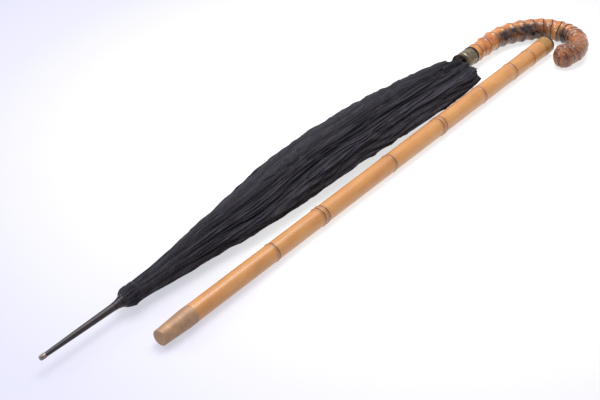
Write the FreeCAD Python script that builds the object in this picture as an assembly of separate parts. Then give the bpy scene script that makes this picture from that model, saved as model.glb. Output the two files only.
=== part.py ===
import FreeCAD, Part
import math
import os

from FreeCAD import Rotation, Vector

# A long stick umbrella with a crook of bamboo root, lying on its side, and the bamboo sheath that
# slides over it, lying beside it. Millimetres. +X runs along the shaft from the spike's tip to the
# handle, +Z is up from the ground. While it is built, x is counted from the spike's tip and y from
# the shaft's axis; save_nodes() then moves everything to the middle of the whole object's outline.

os.makedirs("parts", exist_ok=True)

# ---------------------------------------------------------------- driving sizes
AXIS_Z = 14.0  # height of the shaft's axis above the ground
RIBS = 8
RIB_STEP = 360.0 / RIBS
FIRST_RIB = RIB_STEP / 2  # the azimuth of rib 1, counted from +Y towards +Z

SHAFT_R = 2.8
SHAFT_BORE_R = 2.0
CUP_X = 97.0  # the trumpet cup's flange, where the cloth starts
NOTCH_X = 112.0  # the ribs' hinge circle
HINGE_R = 4.6  # radius of the wire that carries the ribs, and of the runner's wire
WIRE_R = 0.3
EYE_T = 0.9  # thickness of the eyes at the ribs' and stretchers' ends
EYE_R = 1.1
EYE_HOLE_R = 0.38
HUB_HALF = 3.5  # half the length of the slotted rings
HUB_RIM = 0.9  # how far the slotted rings stand out past their wire
EYE_GAP = 0.15  # clearance around an eye in its slot

RIB_FLOOR_R = 5.7  # the open side of the rib's channel faces the shaft from here
RIB_W = 2.6
RIB_H = 2.0
RIB_WALL = 0.4
RIB_END_X = 675.4
ELBOW_X = 352.0  # where each stretcher is pinned inside its rib
ELBOW_R = 6.2
PIN_R = 0.4
ELBOW_EYE_R = 0.95
STRETCHER_R = 0.7

RUNNER_PIVOT_X = 602.0
OPEN_ANGLE = 72.0  # how far each rib swings out
RUNNER_FRONT = 8.0  # the runner's front face, ahead of its wire
RUNNER_REAR = 33.0
RUNNER_LIP_L = 2.5
RUNNER_BORE_R = 2.95
RUNNER_R = 3.7

COLLAR_X = 682.0
HANDLE_X = 704.0
SHAFT_END_X = 736.0

SHEATH_Y = -57.0
SHEATH_FOOT_X = 82.0
SHEATH_L = 710.0
SHEATH_FOOT_R = 7.7
SHEATH_MOUTH_R = 11.3
SHEATH_BORE_R = 8.6
SHEATH_FULL_BORE_X = 470.0  # from here to the mouth the bore is straight
FERRULE_L = 40.0
MOUTH_COLLAR_L = 20.0

NODES = {}


# ---------------------------------------------------------------- helpers
def turned(profile, y=0.0, z=AXIS_Z):
    """A solid turned about the X axis at (y, z) from a closed (x, radius) outline."""
    points = [Vector(x, y, z + r) for x, r in profile]
    face = Part.Face(Part.makePolygon(points + points[:1]))
    return face.revolve(Vector(0, y, z), Vector(1, 0, 0), 360)


def ring(x0, x1, outer, inner):
    """A plain ring around the shaft's axis from x0 to x1."""
    return turned([(x0, inner), (x1, inner), (x1, outer), (x0, outer)])


def rod(start, end, radius):
    """A round rod between two points."""
    run = end - start
    return Part.makeCylinder(radius, run.Length, start, run)


def block(x0, x1, y0, y1, z0, z1):
    """A box by its limits."""
    return Part.makeBox(x1 - x0, y1 - y0, z1 - z0, Vector(x0, y0, z0))


def wire_ring(x, radius, thickness):
    """A hoop of round wire about the shaft's axis."""
    return Part.makeTorus(radius, thickness, Vector(x, 0, AXIS_Z), Vector(1, 0, 0))


def around(shape, azimuth):
    """A copy of a shape made above the shaft (azimuth 90), turned to another azimuth."""
    copy = shape.copy()
    copy.rotate(Vector(0, 0, AXIS_Z), Vector(1, 0, 0), azimuth - 90)
    return copy


def rib_azimuth(number):
    return FIRST_RIB + RIB_STEP * number


def only_solid(shape):
    """The one solid in a shape; anything else is a mistake in the sizes."""
    if len(shape.Solids) != 1:
        raise ValueError(f"{len(shape.Solids)} solids where there should be one")
    return shape.Solids[0]


def joined(shapes):
    """One solid from touching or overlapping solids."""
    return only_solid(shapes[0].fuse(shapes[1:]).removeSplitter())


def runner_travel():
    """How far the runner slides to swing the ribs out by OPEN_ANGLE, from the linkage's lengths."""
    angle = math.radians(OPEN_ANGLE)
    run = ELBOW_X - NOTCH_X
    rise = ELBOW_R - HINGE_R
    elbow_x = NOTCH_X + run * math.cos(angle) - rise * math.sin(angle)
    elbow_r = HINGE_R + run * math.sin(angle) + rise * math.cos(angle)
    stretcher = math.hypot(RUNNER_PIVOT_X - ELBOW_X, rise)
    reach = math.sqrt(stretcher**2 - (elbow_r - HINGE_R) ** 2)
    return RUNNER_PIVOT_X - (elbow_x + reach)


# ---------------------------------------------------------------- shaft, spike and notch
SPRING_L = 26.0
SPRING_W = 1.6
SPRING_T = 0.7
SPRING_NOSE_L = 3.5
SPRING_NOSE_R = 4.2
SLOT_CLEARANCE = 0.3
STOP_PIN_R = 0.8
STOP_PIN_HALF = 3.9
OPEN_PIVOT_X = RUNNER_PIVOT_X - runner_travel()
TOP_SPRING_X = OPEN_PIVOT_X + RUNNER_REAR + 1.0
BOTTOM_SPRING_X = RUNNER_PIVOT_X + RUNNER_REAR - 8.0
STOP_PIN_X = OPEN_PIVOT_X - RUNNER_FRONT - STOP_PIN_R - 0.6


def spring_slot(x, side):
    """The slot in the shaft's top wall for a spring catch with its nose at x and its root on side."""
    ends = sorted([x - side * SLOT_CLEARANCE, x + side * (SPRING_L + SLOT_CLEARANCE)])
    half = SPRING_W / 2 + SLOT_CLEARANCE
    return block(ends[0], ends[1], -half, half, AXIS_Z, AXIS_Z + SHAFT_R + 1)


def make_shaft():
    """The steel tube that everything is mounted on."""
    tube = ring(CUP_X - 11, SHAFT_END_X, SHAFT_R, SHAFT_BORE_R)
    pin_hole = rod(
        Vector(STOP_PIN_X, -STOP_PIN_HALF, AXIS_Z), Vector(STOP_PIN_X, STOP_PIN_HALF, AXIS_Z), STOP_PIN_R
    )
    return only_solid(tube.cut([spring_slot(TOP_SPRING_X, 1), spring_slot(BOTTOM_SPRING_X, -1), pin_hole]))


def make_stop_pin():
    """The cross pin that the runner comes up against when the umbrella is open."""
    side = Vector(0, STOP_PIN_HALF, 0)
    middle = Vector(STOP_PIN_X, 0, AXIS_Z)
    return rod(middle - side, middle + side, STOP_PIN_R)


def make_spring(x, side):
    """A spring catch: a flat tongue in the shaft's slot, its nose steep at x and sloping towards side."""
    top = AXIS_Z + SHAFT_R - 0.2
    outline = [
        (x, top - SPRING_T),
        (x, AXIS_Z + SPRING_NOSE_R),
        (x + side * 1.0, AXIS_Z + SPRING_NOSE_R),
        (x + side * SPRING_NOSE_L, top),
        (x + side * SPRING_L, top),
        (x + side * SPRING_L, top - SPRING_T),
    ]
    points = [Vector(px, -SPRING_W / 2, pz) for px, pz in outline]
    face = Part.Face(Part.makePolygon(points + points[:1]))
    return only_solid(face.extrude(Vector(0, SPRING_W, 0)))


def make_spike():
    """The dark tapering spike ahead of the cloth."""
    return turned([(4, 0), (4, 2.1), (45, 2.95), (84, 3.6), (84, 0)])


def make_spike_tip():
    """The small worn metal cap on the spike's point."""
    return turned([(0, 0), (0, 1.9), (0.5, 2.3), (5, 2.55), (5, 2.12), (4, 2.1), (4, 0)])


def make_cup():
    """The trumpet cup between spike and cloth, open towards the cloth."""
    return turned(
        [
            (84, 0),
            (84, 3.7),
            (88, 4.0),
            (92, 4.8),
            (95, 5.8),
            (CUP_X, 6.9),
            (CUP_X + 0.8, 6.8),
            (CUP_X + 0.8, 5.9),
            (CUP_X - 3, 4.2),
            (CUP_X - 5, SHAFT_R),
            (CUP_X - 11, SHAFT_R),
            (CUP_X - 11, 0),
        ]
    )


def make_rosette():
    """The gathered disc of cloth that covers the notch, held by the cup."""
    return turned(
        [
            (CUP_X - 2.5, SHAFT_R),
            (CUP_X - 2.5, 3.9),
            (CUP_X + 0.9, 5.7),
            (CUP_X + 2, 6.9),
            (CUP_X + 9, 8.4),
            (CUP_X + 10, 8.0),
            (CUP_X + 3, 5.2),
            (CUP_X + 2, SHAFT_R),
        ]
    )


def slotted_hub(x, bore, side):
    """A brass ring with a groove for the wire and a slot for each eye, open towards +X or -X (side)."""
    hub = ring(x - HUB_HALF, x + HUB_HALF, HINGE_R + HUB_RIM, bore)
    shut = x - side * (EYE_R + 2 * EYE_GAP)
    opened = x + side * (HUB_HALF + 1)
    slot = block(
        min(shut, opened),
        max(shut, opened),
        -EYE_T / 2 - EYE_GAP,
        EYE_T / 2 + EYE_GAP,
        AXIS_Z + HINGE_R - EYE_R - EYE_GAP,
        AXIS_Z + HINGE_R + 2,
    )
    slots = [around(slot, rib_azimuth(n)) for n in range(RIBS)]
    return only_solid(hub.cut(slots + [wire_ring(x, HINGE_R, WIRE_R + 0.06)]))


def make_notch():
    """The notch: the fixed slotted ring at the top of the shaft that the ribs hang from."""
    return slotted_hub(NOTCH_X, SHAFT_R, 1)


# ---------------------------------------------------------------- ribs, stretchers, runner
def upright_disc(x, radius, r, thickness):
    """A disc standing in the plane of the rib above the shaft, centred at (x, radius)."""
    centre = Vector(x, -thickness / 2, AXIS_Z + radius)
    return Part.makeCylinder(r, thickness, centre, Vector(0, 1, 0))


def make_rib():
    """One rib above the shaft: a steel channel, its eye at the notch and its ball tip."""
    low = AXIS_Z + RIB_FLOOR_R
    high = low + RIB_H
    start = NOTCH_X + 3.0
    channel = block(start, RIB_END_X - 4, -RIB_W / 2, RIB_W / 2, low, high)
    hollow = block(
        start + 4, RIB_END_X - 12, -RIB_W / 2 + RIB_WALL, RIB_W / 2 - RIB_WALL, low - 1, high - RIB_WALL
    )
    eye = upright_disc(NOTCH_X, HINGE_R, EYE_R, EYE_T)
    arm_points = [
        (NOTCH_X, HINGE_R + EYE_R),
        (NOTCH_X + 3.4, RIB_FLOOR_R + RIB_H),
        (NOTCH_X + 5.5, RIB_FLOOR_R + RIB_H),
        (NOTCH_X + 5.5, RIB_FLOOR_R),
        (NOTCH_X + 3.4, RIB_FLOOR_R),
        (NOTCH_X + 0.6, HINGE_R - 0.9),
    ]
    outline = [Vector(x, -EYE_T / 2, AXIS_Z + r) for x, r in arm_points]
    arm = Part.Face(Part.makePolygon(outline + outline[:1])).extrude(Vector(0, EYE_T, 0))
    middle = low + RIB_H / 2
    ball_r = 1.1
    neck = rod(Vector(RIB_END_X - 6, 0, middle), Vector(RIB_END_X - ball_r, 0, middle), 0.75)
    ball = Part.makeSphere(ball_r, Vector(RIB_END_X - ball_r, 0, middle))
    body = joined([channel.cut(hollow), eye, arm, neck, ball])
    wire_hole = upright_disc(NOTCH_X, HINGE_R, EYE_HOLE_R, EYE_T + 1)
    pin_hole = upright_disc(ELBOW_X, ELBOW_R, PIN_R, RIB_W + 1)
    return only_solid(body.cut([wire_hole, pin_hole]))


def make_elbow_pin():
    """The pin through a rib's channel that its stretcher turns on."""
    return upright_disc(ELBOW_X, ELBOW_R, PIN_R, RIB_W)


def make_stretcher():
    """One stretcher above the shaft: a wire with an eye in the rib's channel and one at the runner."""
    top_eye = upright_disc(ELBOW_X, ELBOW_R, ELBOW_EYE_R, EYE_T)
    low_eye = upright_disc(RUNNER_PIVOT_X, HINGE_R, EYE_R, EYE_T)
    blade_points = [
        (ELBOW_X, ELBOW_R + ELBOW_EYE_R),
        (ELBOW_X + 1.2, ELBOW_R + 0.3),
        (ELBOW_X + 10, HINGE_R + 0.5),
        (ELBOW_X + 10, HINGE_R - 0.5),
        (ELBOW_X, ELBOW_R - ELBOW_EYE_R),
    ]
    outline = [Vector(x, -EYE_T / 2, AXIS_Z + r) for x, r in blade_points]
    blade = Part.Face(Part.makePolygon(outline + outline[:1])).extrude(Vector(0, EYE_T, 0))
    wire_start = Vector(ELBOW_X + 8, 0, AXIS_Z + HINGE_R)
    wire_end = Vector(RUNNER_PIVOT_X - 5, 0, AXIS_Z + HINGE_R)
    run = rod(wire_start, wire_end, STRETCHER_R)
    foot = block(
        RUNNER_PIVOT_X - 6,
        RUNNER_PIVOT_X,
        -EYE_T / 2,
        EYE_T / 2,
        AXIS_Z + HINGE_R - STRETCHER_R + 0.1,
        AXIS_Z + HINGE_R + STRETCHER_R - 0.1,
    )
    body = joined([top_eye, blade, run, foot, low_eye])
    pin_hole = upright_disc(ELBOW_X, ELBOW_R, PIN_R + 0.08, EYE_T + 1)
    wire_hole = upright_disc(RUNNER_PIVOT_X, HINGE_R, EYE_HOLE_R, EYE_T + 1)
    return only_solid(body.cut([pin_hole, wire_hole]))


def make_runner():
    """The runner: a brass tube that slides on the shaft, with the stretchers' hub at its front."""
    front = RUNNER_PIVOT_X - RUNNER_FRONT
    rear = RUNNER_PIVOT_X + RUNNER_REAR
    hub = slotted_hub(RUNNER_PIVOT_X, RUNNER_BORE_R, -1)
    nose = ring(front, RUNNER_PIVOT_X - HUB_HALF, RUNNER_R - 0.45, RUNNER_BORE_R)
    tube = ring(RUNNER_PIVOT_X + HUB_HALF, rear - RUNNER_LIP_L, RUNNER_R, RUNNER_BORE_R)
    lip = ring(rear - RUNNER_LIP_L, rear, RUNNER_R + 1.6, RUNNER_BORE_R)
    window = block(
        BOTTOM_SPRING_X - SPRING_NOSE_L - 0.6,
        BOTTOM_SPRING_X + 0.6,
        -SPRING_W / 2 - 0.6,
        SPRING_W / 2 + 0.6,
        AXIS_Z,
        AXIS_Z + RUNNER_R + 1,
    )
    return only_solid(joined([nose, hub, tube, lip]).cut(window))


# ---------------------------------------------------------------- canopy
# Cross-sections of the gathered cloth: x, half width, half height, middle's y.
# Its underside lies on the ground wherever it is as thick as the shaft's height allows.
BUNDLE = [
    (118, 9.0, 9.0, 0.0),
    (140, 10.5, 10.4, -0.5),
    (174, 15.0, 12.6, -0.5),
    (212, 20.0, 13.8, 0.5),
    (267, 29.0, 15.0, 1.0),
    (330, 35.0, 16.0, 4.0),
    (400, 38.5, 16.5, 5.0),
    (480, 40.0, 16.5, 1.0),
    (545, 39.0, 16.2, -4.0),
    (612, 33.5, 15.5, -8.0),
    (664, 27.0, 14.5, -11.0),
]
BUNDLE_HOLLOW_R = 8.3  # room for the folded frame
GROUND_GAP = 0.1
SEAM_GAP = 0.35


def bundle_section(x, half_width, half_height, y):
    """One oval of the gathered cloth, resting on the ground or centred on the shaft if it is thin."""
    z = max(AXIS_Z, half_height + GROUND_GAP)
    oval = Part.Ellipse(Vector(0, 0, 0), half_width + 0.01, half_height).toShape()
    turn = Rotation(Vector(0, 1, 0), Vector(0, 0, 1), Vector(1, 0, 0), "ZXY")
    oval.Placement = FreeCAD.Placement(Vector(x, y, z), turn)
    return Part.Wire(oval)


def make_bundle():
    """The whole gathered canopy with the room for its frame inside."""
    skin = Part.makeLoft([bundle_section(*s) for s in BUNDLE], True, False)
    hollow = ring(NOTCH_X, RIB_END_X, BUNDLE_HOLLOW_R, 0)
    return skin.cut(hollow)


def make_gore(bundle, number):
    """One canopy panel, gathered between rib number and the next one round."""
    reach = 80.0
    gap = SEAM_GAP / 2
    half = math.radians(RIB_STEP / 2)
    # a wedge about the +Z direction with its sides moved in by half the seam's gap
    apex = gap / math.sin(half)
    outline = [
        Vector(0, 0, AXIS_Z + apex),
        Vector(0, -reach * math.sin(half), AXIS_Z + apex + reach * math.cos(half)),
        Vector(0, reach * math.sin(half), AXIS_Z + apex + reach * math.cos(half)),
    ]
    wedge = Part.Face(Part.makePolygon(outline + outline[:1])).extrude(Vector(800, 0, 0))
    panel = bundle.common(around(wedge, rib_azimuth(number) + RIB_STEP / 2))
    return only_solid(panel)


# ---------------------------------------------------------------- collar and crook
CROOK_STRAIGHT = 46.0
CROOK_R1 = 100.0  # the easy bend out of the grip
CROOK_TURN1 = 45.0
CROOK_R2 = 40.0  # the tight bend
CROOK_TURN2 = 160.0
GRIP_R = 10.6
BEND_R = 12.9
NOSE_R = 11.4
KNOB_R = 13.9
KNOB_PAST = 5.0  # how far the knob's middle lies past the bar's end
RIDGE = 0.9  # how proud each root node stands
CROOK_NODES = 14
FIRST_NODE = 9.0
NODE_PITCH = 21.5  # at the grip; the nodes crowd together towards the nose
NODE_CROWDING = 0.6


def crook_point(s):
    """Place and heading (degrees) of the crook's middle line, s along it from the collar."""
    x = HANDLE_X + s
    if s <= CROOK_STRAIGHT:
        return Vector(x, 0, AXIS_Z), 0.0
    length1 = math.radians(CROOK_TURN1) * CROOK_R1
    bend_x = HANDLE_X + CROOK_STRAIGHT
    turn = min((s - CROOK_STRAIGHT) / CROOK_R1, math.radians(CROOK_TURN1))
    point = Vector(bend_x + CROOK_R1 * math.sin(turn), -CROOK_R1 * (1 - math.cos(turn)), AXIS_Z)
    if s <= CROOK_STRAIGHT + length1:
        return point, -math.degrees(turn)
    centre = point + Vector(-math.sin(turn), -math.cos(turn), 0) * CROOK_R2
    turn = turn + (s - CROOK_STRAIGHT - length1) / CROOK_R2
    return centre + Vector(math.sin(turn), math.cos(turn), 0) * CROOK_R2, -math.degrees(turn)


def crook_length():
    bends = math.radians(CROOK_TURN1) * CROOK_R1 + math.radians(CROOK_TURN2) * CROOK_R2
    return CROOK_STRAIGHT + bends


def crook_radius(s):
    """The root is thickest in its bend and slimmer again before the knob."""
    t = s / crook_length()
    swell = math.sin(math.pi * min(1.0, t / 0.9)) ** 2
    return GRIP_R + (NOSE_R - GRIP_R) * t + (BEND_R - GRIP_R - 0.4) * swell


def crook_section(s, extra=0.0):
    point, heading = crook_point(s)
    direction = Vector(math.cos(math.radians(heading)), math.sin(math.radians(heading)), 0)
    return Part.Wire(Part.makeCircle(crook_radius(s) + extra, point, direction))


def crook_node(number):
    """Distance of a root node along the crook: far apart at the grip, tight in the bend."""
    return FIRST_NODE + NODE_PITCH * number - NODE_CROWDING * number * number


def make_crook():
    """The crook of bamboo root: a ridge at every node and a round knob at its end."""
    sections = [crook_section(0)]
    for number in range(CROOK_NODES):
        here = crook_node(number)
        room = (crook_node(number + 1) - here) * 0.5
        sections += [crook_section(here - 1.2), crook_section(here, RIDGE), crook_section(here + 1.2)]
        if room > 3:
            sections.append(crook_section(here + room, 0.1))
    sections.append(crook_section(crook_length()))
    bar = Part.makeLoft(sections, True, True)
    end, heading = crook_point(crook_length() + KNOB_PAST)
    knob = Part.makeSphere(KNOB_R, end)
    socket = ring(HANDLE_X - 1, SHAFT_END_X, SHAFT_R, 0)
    return only_solid(joined([bar, knob]).cut(socket))


def make_tip_cup():
    """The dished cup on the collar that the rib tips lie against."""
    rim = 11.2
    return turned(
        [
            (COLLAR_X - 6, rim - 0.7),
            (COLLAR_X - 6, rim),
            (COLLAR_X - 2.5, rim - 0.9),
            (COLLAR_X, 10.2),
            (COLLAR_X, SHAFT_R),
            (COLLAR_X - 2, SHAFT_R),
            (COLLAR_X - 2.6, 9.0),
        ]
    )


def make_collar():
    """The brass collar that joins the crook to the shaft."""
    return turned(
        [
            (COLLAR_X, SHAFT_R),
            (COLLAR_X, 10.2),
            (COLLAR_X + 2, 10.7),
            (HANDLE_X - 3.2, 10.7),
            (HANDLE_X - 2.4, 10.4),
            (HANDLE_X - 2.4, SHAFT_R),
        ]
    )


def make_collar_band():
    """The thin dark band between collar and crook."""
    return ring(HANDLE_X - 2.4, HANDLE_X, GRIP_R + 0.6, SHAFT_R)


# ---------------------------------------------------------------- sheath
SHEATH_SINGLES = [153.0, 351.0, 540.0, 614.0, 659.0]  # distances of its nodes from the foot
SHEATH_DOUBLES = [229.0, 450.0]
SHEATH_RIDGE = 0.5
FOOT_PLATE_L = 3.0
FOOT_BORE_R = 7.2


def sheath_radius(x):
    """Outer radius of the cane at a distance from the sheath's foot."""
    return 8.9 + 2.0 * x / SHEATH_L


def double_node_radius(x):
    return sheath_radius(x) + SHEATH_RIDGE * 1.3


def lay_sheath(shape):
    """Moves a piece made about the sheath's own axis from x = 0 at the foot to where it lies,
    on its two double nodes."""
    near, far = SHEATH_DOUBLES
    slope = (double_node_radius(far) - double_node_radius(near)) / (far - near)
    foot_z = double_node_radius(near) - near * slope + GROUND_GAP
    copy = shape.copy()
    copy.rotate(Vector(0, 0, 0), Vector(0, 1, 0), -math.degrees(math.atan(slope)))
    copy.translate(Vector(SHEATH_FOOT_X, SHEATH_Y, foot_z))
    return copy


def turned_sheath(profile):
    return lay_sheath(turned(profile, 0, 0))


def make_sheath_tube():
    """The cane itself, hollow, with single and double nodes."""
    start = FERRULE_L - 12
    end = SHEATH_L - 4
    outline = [(start, FOOT_BORE_R), (start, sheath_radius(start) - 0.9)]
    outline += [(FERRULE_L, sheath_radius(FERRULE_L) - 0.9), (FERRULE_L, sheath_radius(FERRULE_L))]
    nodes = [(x, SHEATH_RIDGE) for x in SHEATH_SINGLES]
    for x in SHEATH_DOUBLES:
        nodes += [(x - 3, SHEATH_RIDGE * 1.3), (x + 3, SHEATH_RIDGE * 1.3)]
    for x, proud in sorted(nodes):
        around_it = sheath_radius(x)
        outline += [(x - 1.5, around_it), (x, around_it + proud), (x + 1.5, around_it)]
    collar = SHEATH_L - MOUTH_COLLAR_L
    outline += [(collar, sheath_radius(collar)), (collar, sheath_radius(collar) - 0.6)]
    outline += [(end, sheath_radius(end) - 0.6), (end, SHEATH_BORE_R)]
    outline.append((SHEATH_FULL_BORE_X, SHEATH_BORE_R))
    return turned_sheath(outline)


def make_mouth_collar():
    """The brass collar at the sheath's mouth."""
    start = SHEATH_L - MOUTH_COLLAR_L
    end = SHEATH_L - 4
    return turned_sheath(
        [
            (start, sheath_radius(start) - 0.6),
            (start, SHEATH_MOUTH_R - 0.3),
            (end, SHEATH_MOUTH_R),
            (end, sheath_radius(end) - 0.6),
        ]
    )


def make_mouth_rim():
    """The thin dark rim around the sheath's mouth."""
    return turned_sheath(
        [
            (SHEATH_L - 4, SHEATH_BORE_R),
            (SHEATH_L - 4, SHEATH_MOUTH_R),
            (SHEATH_L - 0.6, SHEATH_MOUTH_R),
            (SHEATH_L, SHEATH_MOUTH_R - 0.6),
            (SHEATH_L, SHEATH_BORE_R),
        ]
    )


def make_foot_ferrule():
    """The metal sleeve over the sheath's foot."""
    inner = FERRULE_L - 12
    return turned_sheath(
        [
            (FOOT_PLATE_L, 0),
            (FOOT_PLATE_L, SHEATH_FOOT_R),
            (FERRULE_L - 8, sheath_radius(FERRULE_L) + 0.15),
            (FERRULE_L, sheath_radius(FERRULE_L) + 0.1),
            (FERRULE_L, sheath_radius(FERRULE_L) - 0.9),
            (inner, sheath_radius(inner) - 0.9),
            (inner, 0),
        ]
    )


def make_foot_plate():
    """The round wear plate on the end of the foot."""
    edge = SHEATH_FOOT_R - 0.4
    return turned_sheath(
        [(0, 0), (0, edge), (0.4, SHEATH_FOOT_R), (FOOT_PLATE_L, SHEATH_FOOT_R), (FOOT_PLATE_L, 0)]
    )


# ---------------------------------------------------------------- everything
def make_nodes():
    NODES["shaft"] = make_shaft()
    NODES["spike"] = make_spike()
    NODES["spike_tip"] = make_spike_tip()
    NODES["spike_cup"] = make_cup()
    NODES["crown_rosette"] = make_rosette()
    NODES["notch"] = make_notch()
    NODES["notch_wire"] = wire_ring(NOTCH_X, HINGE_R, WIRE_R)
    NODES["stop_pin"] = make_stop_pin()
    NODES["top_spring"] = make_spring(TOP_SPRING_X, 1)
    NODES["bottom_spring"] = make_spring(BOTTOM_SPRING_X, -1)
    NODES["runner"] = make_runner()
    NODES["runner_wire"] = wire_ring(RUNNER_PIVOT_X, HINGE_R, WIRE_R)
    NODES["rib_tip_cup"] = make_tip_cup()
    NODES["handle_collar"] = make_collar()
    NODES["collar_band"] = make_collar_band()
    NODES["crook_handle"] = make_crook()
    NODES["sheath_tube"] = make_sheath_tube()
    NODES["sheath_mouth_collar"] = make_mouth_collar()
    NODES["sheath_mouth_rim"] = make_mouth_rim()
    NODES["sheath_ferrule"] = make_foot_ferrule()
    NODES["sheath_foot_plate"] = make_foot_plate()
    rib = make_rib()
    pin = make_elbow_pin()
    stretcher = make_stretcher()
    bundle = make_bundle()
    for number in range(RIBS):
        azimuth = rib_azimuth(number)
        NODES[f"rib_{number + 1}"] = around(rib, azimuth)
        NODES[f"elbow_pin_{number + 1}"] = around(pin, azimuth)
        NODES[f"stretcher_{number + 1}"] = around(stretcher, azimuth)
        NODES[f"canopy_gore_{number + 1}"] = make_gore(bundle, number)


def save_nodes():
    """Moves the origin under the middle of the whole outline and writes one STEP file per node."""
    bounds = FreeCAD.BoundBox()
    for shape in NODES.values():
        bounds.add(shape.optimalBoundingBox(False, False))
    shift = Vector(-bounds.Center.x, -bounds.Center.y, -bounds.ZMin)
    for name, shape in NODES.items():
        shape.translated(shift).exportStep(f"parts/{name}.step")
    print(f"shift {shift.x:.4f} {shift.y:.4f} {shift.z:.4f}")
    print(f"size {bounds.XLength:.2f} {bounds.YLength:.2f} {bounds.ZLength:.2f}")
    print(f"runner travel {runner_travel():.4f}")


make_nodes()
save_nodes()
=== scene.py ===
import math

import bpy
import numpy as np
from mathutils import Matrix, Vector


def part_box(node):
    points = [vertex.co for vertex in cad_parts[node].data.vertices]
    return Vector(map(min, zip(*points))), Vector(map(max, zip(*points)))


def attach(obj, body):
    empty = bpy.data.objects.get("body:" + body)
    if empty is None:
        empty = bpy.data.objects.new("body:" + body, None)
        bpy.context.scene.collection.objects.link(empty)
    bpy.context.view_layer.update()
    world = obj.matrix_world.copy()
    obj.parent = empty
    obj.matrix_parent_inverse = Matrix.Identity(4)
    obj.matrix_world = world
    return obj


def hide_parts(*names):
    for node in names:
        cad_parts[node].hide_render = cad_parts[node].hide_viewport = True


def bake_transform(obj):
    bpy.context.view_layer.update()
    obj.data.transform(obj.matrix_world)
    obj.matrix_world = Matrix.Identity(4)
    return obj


# The looks of the umbrella cane: an old stick umbrella with a crook of bamboo root, lying beside
# its bamboo sheath. Metres, in the row frame: +X from spike to handle, +Z up, ground at z = 0.
# "Station" is the distance along X from the spike's tip. Stations, radii and depths are in mm.

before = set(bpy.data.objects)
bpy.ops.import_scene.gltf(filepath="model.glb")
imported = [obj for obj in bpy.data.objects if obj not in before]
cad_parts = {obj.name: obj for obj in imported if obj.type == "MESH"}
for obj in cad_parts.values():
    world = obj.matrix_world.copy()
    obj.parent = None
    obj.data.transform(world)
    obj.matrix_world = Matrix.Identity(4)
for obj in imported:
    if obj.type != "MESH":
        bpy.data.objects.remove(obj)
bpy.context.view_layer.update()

MM = 0.001
TIP_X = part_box("spike_tip")[0].x
CUP_LOW, CUP_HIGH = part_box("rib_tip_cup")
AXIS = (CUP_LOW + CUP_HIGH) / 2  # a point on the shaft's axis; only its y and z are used
AXIS_Y = AXIS.y
AXIS_Z = AXIS.z

# ---------------------------------------------------------------- camera
LENS = 69.0
SENSOR_WIDTH = 36.0
CAMERA_FROM_TIP = (-0.4439, -0.6042, 0.6292)  # from the spike's tip
CAMERA_DOWN = 33.355  # degrees below level
CAMERA_HEADING = 37.125  # degrees from +X towards +Y


def make_camera():
    data = bpy.data.cameras.new("camera")
    data.lens = LENS
    data.sensor_width = SENSOR_WIDTH
    camera = bpy.data.objects.new("camera", data)
    x, y, z = CAMERA_FROM_TIP
    camera.location = (TIP_X + x, AXIS_Y + y, AXIS_Z + z)
    camera.rotation_euler = (math.radians(90 - CAMERA_DOWN), 0, math.radians(CAMERA_HEADING - 90))
    bpy.context.scene.collection.objects.link(camera)
    bpy.context.scene.camera = camera


make_camera()


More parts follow.
